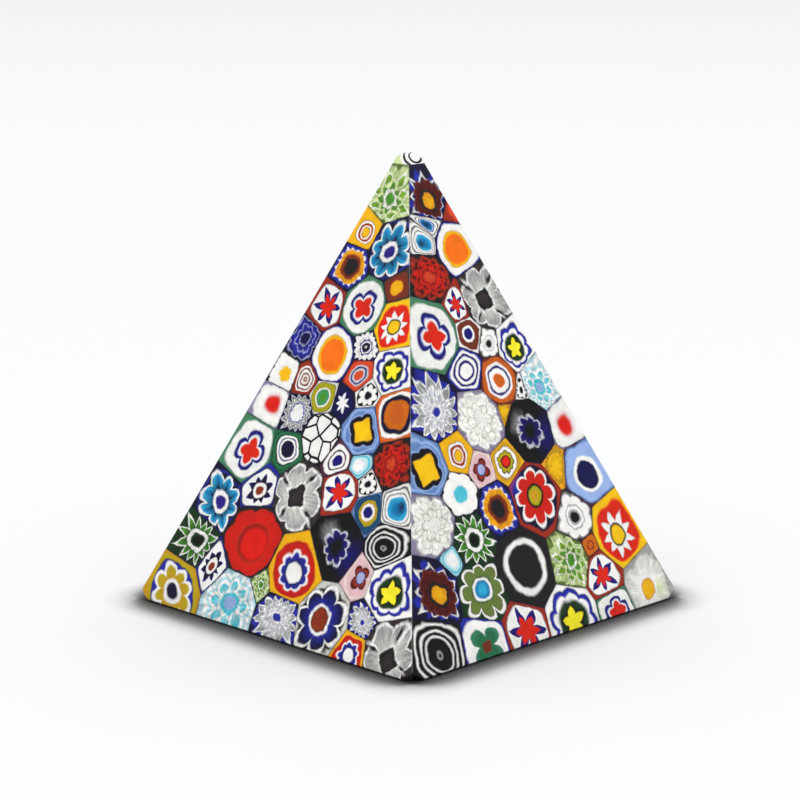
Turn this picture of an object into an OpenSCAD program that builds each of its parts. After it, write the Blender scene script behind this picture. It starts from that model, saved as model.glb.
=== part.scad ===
// Millefiori glass pyramid paperweight.
// Face-on slices of patterned glass cane are fused side by side over a glass core,
// then the block is ground to a square pyramid with a blunt tip and eased corners.
// Frame: origin at the middle of the square base, Z up, the base lies on Z = 0.
// Face 0 looks to -Y, face 1 to +X, face 2 to +Y and face 3 to -X.

/* [Pyramid] */
// side of the square base, mm
base_side = 65; // [55:1:80]
// height at which the four ridge lines would meet, mm
full_height = 78; // [66:1:96]

/* [Cane slices] */
// how far every cane slice reaches in behind its face, mm
slice_depth = 5; // [3.5:0.5:6.5]

/* [Ground edges] */
// height of the bevel ground under the four bottom edges, mm
base_bevel = 0.3; // [0.3:0.1:1.2]
// radius of the ball shape that eases each base corner, mm
corner_radius = 4.5; // [4:0.5:6]
// radius of the dome ground on the tip, mm
tip_radius = 2.9; // [2.2:0.1:3.4]

/* [Hidden] */
$fn = 96;
half = base_side / 2;
slope = atan2(full_height, half);
slant = norm([half, full_height]);
// the slice layouts below are set out on a face 65 mm wide and 84.5 mm high
draw_width = 65;
draw_slant = 84.5;
wide = base_side / draw_width;
tall = slant / draw_slant;
// ridge lean from the upright, and the dome that touches all four ridges
lean = atan2(half * sqrt(2), full_height);
// the dome sits a little above the touching place, so it cuts the ridges cleanly
dome_share = 0.97;
dome_drop = dome_share * tip_radius / sin(lean);
dome_z = full_height - dome_drop;
// the cap starts this share of the dome radius under the ring where dome and ridges meet
cap_margin = 0.1;
cap_z = full_height - dome_drop * pow(cos(lean), 2) - cap_margin * tip_radius * cos(lean);
// how far the bevelled edge stands in from the nominal base edge
bevel_inset = base_bevel * half / full_height;
// place of the ball that eases a base corner, in from the corner and up, as shares of its radius
ball_in_share = 0.82;
ball_up_share = 0.53;
ball_in = bevel_inset + ball_in_share * corner_radius;
ball_up = base_bevel + ball_up_share * corner_radius;
// slices with a middle lower than this on the drawing may reach the bottom bevel
low_row = 14;
// low slices with a middle further than this from the centre line may reach a base corner
near_corner = 20;
// every cell starts as this outline, a little larger than the face
sheet = [[-37, -4], [37, -4], [3, 88], [-3, 88]];
far = 3 * base_side;

// Slice layouts. Each row is one slice: across from the middle of the face, up the
// slope from the bottom edge, radius (all mm) and the cane it was cut from.
face_0 = [
    [0, 74.5, 4, "green_lace"], [-4, 67.7, 3, "amber_ring"], [3.2, 65.4, 4.5, "teal_flower"],
    [-5, 61.8, 4, "sunflower"], [7, 59.3, 2.5, "amber_eye"], [0.7, 55.5, 4.6, "quatrefoil"],
    [-7.8, 55, 4, "red_star"], [9, 53.4, 4.5, "sunburst"], [-11, 48.8, 3.6, "violet_rosette"],
    [-2.9, 47, 4.5, "orange_egg"], [3.4, 49.2, 2.6, "white_frill"], [4, 44.7, 2.6, "coral_target"],
    [11, 46.6, 4.2, "yellow_star"], [-13.3, 42.6, 3.2, "lemon_spot"], [-7.6, 42, 2.4, "brown_ring"],
    [-2.6, 39.7, 2.8, "lime_eye"], [2.1, 39.7, 2.3, "night_star"], [6.8, 41.8, 2.2, "domino_flower"],
    [14, 39.3, 4.4, "terracotta"], [-14.3, 37.3, 3.6, "red_dot"], [-7.2, 36.4, 3.2, "lilac_frill"],
    [8, 35.8, 4, "yellow_leaf"], [-0.9, 33.6, 4, "pebble"], [-7, 30.4, 3, "green_target"],
    [-16.2, 29, 5.2, "quatrefoil"], [4.6, 30.6, 2.8, "plum_target"], [9.4, 30.4, 2.1, "ice"],
    [16.6, 32, 4.1, "red_rose"], [12.4, 27.6, 2, "domino_flower"], [-2, 23.4, 5.2, "smoke_petal"],
    [-11, 22.8, 3.7, "navy_star"], [6.9, 25.5, 3.8, "red_star"], [14, 23.6, 3, "steel_target"],
    [20, 25.4, 3.8, "teal_drop"], [-20, 19.6, 4.8, "teal_flower"], [-22.6, 12.2, 4.6, "green_burst"],
    [-9.4, 14.6, 6, "red_poppy"], [9.2, 17.6, 5, "midnight_flower"], [19.8, 19.2, 4, "swirl"],
    [-17, 9, 3, "navy_star"], [-24.6, 3.3, 5.4, "olive_flower"], [-10.6, 3.8, 5.2, "aqua_flower"],
    [-4.8, 8.4, 1.2, "green_lace"], [1.8, 11.8, 5.4, "gold_flower"], [16.1, 13.8, 2.1, "pink_clover"],
    [23.4, 13, 4.9, "yellow_star"], [1, 3.4, 4.4, "silver_lace"], [10.4, 5.2, 5.2, "ink_flower"],
    [19.2, 7, 1.8, "silver_lace"], [18.2, 1.4, 3, "gold_flower"], [26.6, 3.3, 5.4, "smoke_petal"]
];
face_1 = [
    [0.2, 74.2, 4.2, "maroon_flower"], [4.8, 71.2, 2, "coral_target"], [-1, 69.8, 2.2, "teal_lens"],
    [-3.8, 66.8, 2.8, "teal_drop"], [3.4, 65.2, 4.4, "orange_egg"], [-4.6, 61, 4.2, "red_rose"],
    [-0.1, 55.9, 2.8, "red_star"], [6.6, 56.4, 5.2, "smoke_petal"], [-7.6, 52, 5.6, "quatrefoil"],
    [0.7, 50.8, 2.6, "rust_target"], [4.6, 48.6, 2.2, "smoke_daisy"], [10.4, 47.4, 3.9, "yellow_star"],
    [-1.8, 45.2, 3.2, "navy_square"], [4.5, 42.3, 4.1, "rust_ring"], [4, 37.2, 1.6, "yellow_chip"],
    [8.8, 40.2, 1.8, "domino_flower"], [14, 40.8, 4.2, "aqua_flower"], [-11.8, 40.2, 5, "silver_lace"],
    [-2.4, 36.6, 4.9, "ivory_flower"], [8.2, 33.4, 5.2, "midnight_flower"], [17, 33, 3.8, "red_dot"],
    [-16.8, 31.2, 4.4, "yellow_leaf"], [-9.6, 32.1, 3.2, "amber_ring"], [-5.4, 29, 2.7, "pink_clover"],
    [1, 29, 3.1, "green_daisy"], [-11.4, 26, 3.8, "cyan_daisy"], [-4.2, 22.3, 4.2, "sunflower"],
    [5, 22.6, 5.4, "scarlet_flower"], [12, 26.8, 2, "yellow_chip"], [18.6, 24.6, 5, "blue_eye"],
    [-19, 22.4, 4.8, "ivory_flower"], [-11.6, 18.6, 4.4, "green_burst"], [-1.8, 12, 6, "black_eye"],
    [12.6, 17.4, 3.6, "smoke_daisy"], [22.2, 13.6, 5.6, "sunburst"], [8.8, 11, 4.2, "green_lace"],
    [14.1, 12.4, 1.4, "orange_square"], [15.6, 7.2, 3.8, "red_star"], [-22.6, 12.2, 4.8, "maroon_flower"],
    [-12.6, 10.4, 4.8, "green_petal"], [-17.2, 16.9, 2.2, "ice"], [-25.4, 3.4, 5.2, "swirl"],
    [-15, 2, 4.6, "green_clover"], [-5.6, 2.2, 4.6, "red_star"], [5.8, 1.8, 5.4, "yellow_star"],
    [16.4, 1, 3.8, "quatrefoil"], [26.2, 3.4, 5.6, "egg_smoke"]
];
// The two other faces carry the same canes in another order.
face_2 = [for (i = [0:len(face_1) - 1])
    [-face_1[i][0], face_1[i][1], face_1[i][2], face_0[(i * 4 + 3) % len(face_0)][3]]];
face_3 = [for (i = [0:len(face_0) - 1])
    [-face_0[i][0], face_0[i][1], face_0[i][2], face_1[(i * 5 + 4) % len(face_1)][3]]];
faces = [face_0, face_1, face_2, face_3];

// keeps the part of an outline where n * point <= c
function trimmed(outline, n, c) = [
    for (i = [0:len(outline) - 1])
        let (
            a = outline[i],
            b = outline[(i + 1) % len(outline)],
            da = n * a - c,
            db = n * b - c
        )
        each concat(da <= 0 ? [a] : [], da * db < 0 ? [a + (b - a) * da / (da - db)] : [])
];
function spot(row) = [row[0], row[1]];
// border between two neighbouring slices, set by their middles and radii
function border_n(a, b) = 2 * (spot(b) - spot(a));
function border_c(a, b) = spot(b) * spot(b) - spot(a) * spot(a) - b[2] * b[2] + a[2] * a[2];
// outline of slice i: the sheet trimmed against every other slice in the face
function cell(rows, i, j = 0, outline = sheet) =
    j == len(rows) ? outline :
    cell(rows, i, j + 1, j == i ? outline :
        trimmed(outline, border_n(rows[i], rows[j]), border_c(rows[i], rows[j])));
function sized(outline) = [for (p = outline) [p[0] * wide, p[1] * tall]];

// lays face drawings onto the sloping plane of face 0
module on_face() {
    translate([0, -half, 0])
        rotate([slope, 0, 0])
            children();
}

// everything behind face 0 up to the two mitre planes, from the base to the cap
module face_wedge() {
    linear_extrude(cap_z)
        polygon([[0, 0], [-far, -far], [far, -far]]);
}

// material ground away under the bottom edge of face 0
module bevel_waste() {
    translate([0, -half + bevel_inset, base_bevel])
        rotate([45, 0, 0])
            translate([-far, -far, -far])
                cube([2 * far, far, far]);
}

// material ground away round one base corner
module corner_waste() {
    translate([half, -half, 0])
        difference() {
            cube(2 * ball_in, center = true);
            translate([-ball_in, ball_in, ball_up])
                sphere(corner_radius);
        }
}

// all slices of one cane, one face after the other, mitred at the ridges
module slices_of(cane) {
    for (k = [0:3]) {
        picked = [for (i = [0:len(faces[k]) - 1]) if (faces[k][i][3] == cane) i];
        low = len([for (i = picked) if (faces[k][i][1] < low_row) i]) > 0;
        edge = len([for (i = picked)
            if (faces[k][i][1] < low_row && abs(faces[k][i][0]) > near_corner) i]) > 0;
        if (len(picked) > 0)
            rotate([0, 0, 90 * k])
                difference() {
                    intersection() {
                        on_face()
                            for (i = picked)
                                translate([0, 0, -slice_depth])
                                    linear_extrude(slice_depth)
                                        polygon(sized(cell(faces[k], i)));
                        face_wedge();
                    }
                    if (low)
                        bevel_waste();
                    if (edge) {
                        corner_waste();
                        mirror([1, 0, 0])
                            corner_waste();
                    }
                }
    }
}

// half space under face 0, moved in by the given depth
module under_face(depth) {
    on_face()
        translate([-far, -far, -depth - far])
            cube([2 * far, 3 * far, far]);
}

// upright block that reaches from z0 to z1 under the four faces moved in by depth
module inner_block(z0, z1, depth) {
    intersection() {
        translate([-half, -half, z0])
            cube([base_side, base_side, z1 - z0]);
        under_face(depth);
        rotate([0, 0, 90])
            under_face(depth);
        rotate([0, 0, 180])
            under_face(depth);
        rotate([0, 0, 270])
            under_face(depth);
    }
}

// plain glass body that carries the slices
module glass_core() {
    color([0.16, 0.17, 0.22])
        inner_block(0, full_height, slice_depth);
}

// black and white swirl slice that closes the tip, ground to a dome
module tip_swirl_cap() {
    color([0.85, 0.85, 0.85])
        intersection() {
            inner_block(cap_z, full_height, 0);
            translate([0, 0, dome_z])
                sphere(tip_radius);
        }
}

// slices showing: pale green and white lace flower
module green_lace_slices() {
    color([0.72, 0.84, 0.45])
        slices_of("green_lace");
}

// slices showing: amber, white and brown rings
module amber_ring_slices() {
    color([0.92, 0.66, 0.10])
        slices_of("amber_ring");
}

// slices showing: white edged teal petals on navy
module teal_flower_slices() {
    color([0.10, 0.50, 0.70])
        slices_of("teal_flower");
}

// slices showing: yellow scallops round a dark eye on navy
module sunflower_slices() {
    color([0.93, 0.60, 0.08])
        slices_of("sunflower");
}

// slices showing: amber eye in red brown
module amber_eye_slices() {
    color([0.50, 0.18, 0.10])
        slices_of("amber_eye");
}

// slices showing: navy outlined red quatrefoil in mint white
module quatrefoil_slices() {
    color([0.86, 0.93, 0.88])
        slices_of("quatrefoil");
}

// slices showing: six pointed red star in white
module red_star_slices() {
    color([0.88, 0.20, 0.10])
        slices_of("red_star");
}

// slices showing: white sunburst on red with a yellow rim
module sunburst_slices() {
    color([0.96, 0.72, 0.05])
        slices_of("sunburst");
}

// slices showing: blue violet rosette
module violet_rosette_slices() {
    color([0.25, 0.25, 0.65])
        slices_of("violet_rosette");
}

// slices showing: orange yolk in a white ring
module orange_egg_slices() {
    color([1.00, 0.48, 0.05])
        slices_of("orange_egg");
}

// slices showing: white frill round a navy ring
module white_frill_slices() {
    color([0.88, 0.88, 0.92])
        slices_of("white_frill");
}

// slices showing: coral, white and navy target
module coral_target_slices() {
    color([0.88, 0.25, 0.10])
        slices_of("coral_target");
}

// slices showing: yellow star on dark green inside wavy navy
module yellow_star_slices() {
    color([0.95, 0.88, 0.10])
        slices_of("yellow_star");
}

// slices showing: yellow spot in ticked white
module lemon_spot_slices() {
    color([0.95, 0.85, 0.40])
        slices_of("lemon_spot");
}

// slices showing: fine brown and white rings
module brown_ring_slices() {
    color([0.45, 0.20, 0.18])
        slices_of("brown_ring");
}

// slices showing: green eye in lime
module lime_eye_slices() {
    color([0.65, 0.68, 0.12])
        slices_of("lime_eye");
}

// slices showing: small white star on navy
module night_star_slices() {
    color([0.10, 0.10, 0.30])
        slices_of("night_star");
}

// slices showing: small white flower outlined in black
module domino_flower_slices() {
    color([0.80, 0.80, 0.80])
        slices_of("domino_flower");
}

// slices showing: rounded terracotta square in black and white
module terracotta_slices() {
    color([0.82, 0.42, 0.12])
        slices_of("terracotta");
}

// slices showing: red dot in opal white
module red_dot_slices() {
    color([0.90, 0.30, 0.18])
        slices_of("red_dot");
}

// slices showing: lilac frill round a white middle
module lilac_frill_slices() {
    color([0.72, 0.70, 0.80])
        slices_of("lilac_frill");
}

// slices showing: yellow leaf shape in black and pale blue
module yellow_leaf_slices() {
    color([0.96, 0.76, 0.05])
        slices_of("yellow_leaf");
}

// slices showing: white pebbles with black joints
module pebble_slices() {
    color([0.93, 0.93, 0.91])
        slices_of("pebble");
}

// slices showing: black eye with white and green rings
module green_target_slices() {
    color([0.15, 0.42, 0.24])
        slices_of("green_target");
}

// slices showing: navy eye with white and plum rings
module plum_target_slices() {
    color([0.35, 0.20, 0.35])
        slices_of("plum_target");
}

// slices showing: pale ice blue with a white middle
module ice_slices() {
    color([0.62, 0.86, 0.92])
        slices_of("ice");
}

// slices showing: red ruffled flower on dark glass
module red_rose_slices() {
    color([0.72, 0.12, 0.10])
        slices_of("red_rose");
}

// slices showing: grey smoke petals round a dark middle
module smoke_petal_slices() {
    color([0.60, 0.60, 0.58])
        slices_of("smoke_petal");
}

// slices showing: navy star with a red brown eye in white
module navy_star_slices() {
    color([0.16, 0.16, 0.50])
        slices_of("navy_star");
}

// slices showing: steel blue, olive and white target
module steel_target_slices() {
    color([0.18, 0.32, 0.48])
        slices_of("steel_target");
}

// slices showing: teal drop in black and white lines
module teal_drop_slices() {
    color([0.05, 0.45, 0.65])
        slices_of("teal_drop");
}

// slices showing: narrow teal lens in black and white lines
module teal_lens_slices() {
    color([0.08, 0.38, 0.48])
        slices_of("teal_lens");
}

// slices showing: green and white sunburst
module green_burst_slices() {
    color([0.30, 0.55, 0.18])
        slices_of("green_burst");
}

// slices showing: large plain red poppy
module red_poppy_slices() {
    color([0.85, 0.12, 0.08])
        slices_of("red_poppy");
}

// slices showing: white edged navy flower on black
module midnight_flower_slices() {
    color([0.12, 0.10, 0.30])
        slices_of("midnight_flower");
}

// slices showing: black and white swirl
module swirl_slices() {
    color([0.30, 0.30, 0.32])
        slices_of("swirl");
}

// slices showing: olive flower in navy and white
module olive_flower_slices() {
    color([0.72, 0.62, 0.10])
        slices_of("olive_flower");
}

// slices showing: aqua petals in white
module aqua_flower_slices() {
    color([0.45, 0.82, 0.86])
        slices_of("aqua_flower");
}

// slices showing: navy flower on red with a gold rim
module gold_flower_slices() {
    color([0.95, 0.66, 0.05])
        slices_of("gold_flower");
}

// slices showing: pink edged maroon clover
module pink_clover_slices() {
    color([0.86, 0.66, 0.68])
        slices_of("pink_clover");
}

// slices showing: silver lace with a small blue eye
module silver_lace_slices() {
    color([0.80, 0.82, 0.88])
        slices_of("silver_lace");
}

// slices showing: white edged ink flower with a brown eye
module ink_flower_slices() {
    color([0.10, 0.10, 0.32])
        slices_of("ink_flower");
}

// slices showing: maroon scallops round an orange eye
module maroon_flower_slices() {
    color([0.36, 0.10, 0.08])
        slices_of("maroon_flower");
}

// slices showing: rust ring with a blue eye
module rust_target_slices() {
    color([0.55, 0.20, 0.12])
        slices_of("rust_target");
}

// slices showing: white daisy with a dark eye
module smoke_daisy_slices() {
    color([0.82, 0.82, 0.80])
        slices_of("smoke_daisy");
}

// slices showing: navy and white rounded squares
module navy_square_slices() {
    color([0.80, 0.80, 0.88])
        slices_of("navy_square");
}

// slices showing: rust orange, white and navy rings
module rust_ring_slices() {
    color([0.85, 0.40, 0.10])
        slices_of("rust_ring");
}

// slices showing: plain yellow chip
module yellow_chip_slices() {
    color([0.93, 0.72, 0.06])
        slices_of("yellow_chip");
}

// slices showing: ivory ruffled flower
module ivory_flower_slices() {
    color([0.90, 0.90, 0.86])
        slices_of("ivory_flower");
}

// slices showing: green daisy with a red eye in lime
module green_daisy_slices() {
    color([0.68, 0.66, 0.10])
        slices_of("green_daisy");
}

// slices showing: white daisy with a cyan eye
module cyan_daisy_slices() {
    color([0.88, 0.95, 0.95])
        slices_of("cyan_daisy");
}

// slices showing: white edged scarlet petals on black
module scarlet_flower_slices() {
    color([0.80, 0.14, 0.08])
        slices_of("scarlet_flower");
}

// slices showing: navy eye in white and pale blue
module blue_eye_slices() {
    color([0.45, 0.60, 0.85])
        slices_of("blue_eye");
}

// slices showing: large black eye with a white ring
module black_eye_slices() {
    color([0.10, 0.10, 0.10])
        slices_of("black_eye");
}

// slices showing: small orange square
module orange_square_slices() {
    color([0.88, 0.38, 0.08])
        slices_of("orange_square");
}

// slices showing: white edged green petals with a blue eye
module green_petal_slices() {
    color([0.28, 0.45, 0.20])
        slices_of("green_petal");
}

// slices showing: green clover with a red middle in white
module green_clover_slices() {
    color([0.20, 0.48, 0.34])
        slices_of("green_clover");
}

// slices showing: yellow yolk in pale smoke
module egg_smoke_slices() {
    color([0.78, 0.80, 0.76])
        slices_of("egg_smoke");
}

glass_core();
tip_swirl_cap();
green_lace_slices();
amber_ring_slices();
teal_flower_slices();
sunflower_slices();
amber_eye_slices();
quatrefoil_slices();
red_star_slices();
sunburst_slices();
violet_rosette_slices();
orange_egg_slices();
white_frill_slices();
coral_target_slices();
yellow_star_slices();
lemon_spot_slices();
brown_ring_slices();
lime_eye_slices();
night_star_slices();
domino_flower_slices();
terracotta_slices();
red_dot_slices();
lilac_frill_slices();
yellow_leaf_slices();
pebble_slices();
green_target_slices();
plum_target_slices();
ice_slices();
red_rose_slices();
smoke_petal_slices();
navy_star_slices();
steel_target_slices();
teal_drop_slices();
teal_lens_slices();
green_burst_slices();
red_poppy_slices();
midnight_flower_slices();
swirl_slices();
olive_flower_slices();
aqua_flower_slices();
gold_flower_slices();
pink_clover_slices();
silver_lace_slices();
ink_flower_slices();
maroon_flower_slices();
rust_target_slices();
smoke_daisy_slices();
navy_square_slices();
rust_ring_slices();
yellow_chip_slices();
ivory_flower_slices();
green_daisy_slices();
cyan_daisy_slices();
scarlet_flower_slices();
blue_eye_slices();
black_eye_slices();
orange_square_slices();
green_petal_slices();
green_clover_slices();
egg_smoke_slices();
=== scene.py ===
"""Millefiori glass pyramid paperweight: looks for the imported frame.

Every cane slice of the frame is rebuilt as a finely divided solid. Each of its points knows where it
lies in the cross section of its cane, and the glass materials draw the cane's pattern from that.
"""
import math
import random

import bmesh
import bpy
from mathutils import Matrix, Vector
from mathutils.geometry import convex_hull_2d


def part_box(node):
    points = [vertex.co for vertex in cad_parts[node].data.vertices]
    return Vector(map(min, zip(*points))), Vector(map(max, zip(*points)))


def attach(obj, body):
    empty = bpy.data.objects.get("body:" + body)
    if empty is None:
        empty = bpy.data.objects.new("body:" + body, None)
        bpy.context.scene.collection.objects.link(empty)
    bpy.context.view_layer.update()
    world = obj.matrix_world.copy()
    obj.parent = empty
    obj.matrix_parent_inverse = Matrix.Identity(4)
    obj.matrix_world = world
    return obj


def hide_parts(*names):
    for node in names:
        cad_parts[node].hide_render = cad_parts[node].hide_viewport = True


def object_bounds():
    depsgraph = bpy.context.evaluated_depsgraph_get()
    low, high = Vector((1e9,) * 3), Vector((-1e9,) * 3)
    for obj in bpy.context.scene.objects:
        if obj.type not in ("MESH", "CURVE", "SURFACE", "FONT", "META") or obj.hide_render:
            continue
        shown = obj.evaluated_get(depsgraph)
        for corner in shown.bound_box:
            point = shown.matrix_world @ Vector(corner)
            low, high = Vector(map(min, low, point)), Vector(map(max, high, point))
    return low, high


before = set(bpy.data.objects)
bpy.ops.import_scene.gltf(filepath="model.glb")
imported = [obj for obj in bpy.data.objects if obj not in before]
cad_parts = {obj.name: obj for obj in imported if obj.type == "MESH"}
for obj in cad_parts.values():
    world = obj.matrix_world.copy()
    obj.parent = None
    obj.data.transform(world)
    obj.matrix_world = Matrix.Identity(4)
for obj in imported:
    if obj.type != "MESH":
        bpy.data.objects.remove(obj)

CAD_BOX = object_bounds()
MM = 0.001

# ---------------------------------------------------------------- glass colours (sRGB, 0 to 255)
GLASS = {
    "white": (250, 249, 246), "opal": (240, 243, 238), "ivory": (248, 248, 240), "fold": (214, 216, 208),
    "mint": (236, 243, 237), "mint_edge": (84, 140, 108), "black": (34, 32, 34), "coal": (46, 44, 46),
    "navy": (42, 38, 122), "night": (26, 24, 62), "ink": (34, 30, 84), "cobalt": (52, 58, 170),
    "violet": (56, 46, 140), "blue": (70, 90, 190), "pale_blue": (160, 186, 234), "steel": (42, 88, 126),
    "slate": (108, 142, 196), "teal": (22, 124, 178), "deep_teal": (20, 66, 104), "sky": (60, 176, 222),
    "cyan": (88, 198, 216), "aqua": (78, 204, 220), "ice": (190, 228, 238), "red": (226, 50, 28),
    "poppy": (226, 42, 26), "dark_red": (150, 30, 22), "scarlet": (206, 44, 36), "coral": (226, 84, 50),
    "brick": (166, 58, 42), "brown": (122, 60, 46), "red_brown": (146, 62, 40), "maroon": (92, 38, 34),
    "plum": (92, 56, 72), "rust": (206, 104, 42), "terracotta": (208, 112, 34), "orange": (254, 124, 0),
    "amber": (244, 172, 20), "gold": (248, 190, 14), "yellow": (252, 204, 14), "lemon": (250, 238, 54),
    "ochre": (206, 160, 42), "olive": (196, 174, 38), "lime": (178, 170, 40), "leaf": (84, 156, 54),
    "grass": (126, 178, 52), "pale_green": (214, 230, 170), "moss": (112, 132, 70), "forest": (40, 66, 42),
    "emerald": (52, 120, 84), "jade": (66, 164, 112), "clover": (64, 132, 104), "pink": (228, 190, 196),
    "lilac": (176, 178, 222), "mauve": (150, 140, 170), "silver": (208, 211, 219), "grey": (150, 151, 152),
    "smoke": (172, 173, 172), "dusk": (66, 60, 58), "shell": (236, 224, 214), "cream": (244, 228, 206),
}

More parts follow.
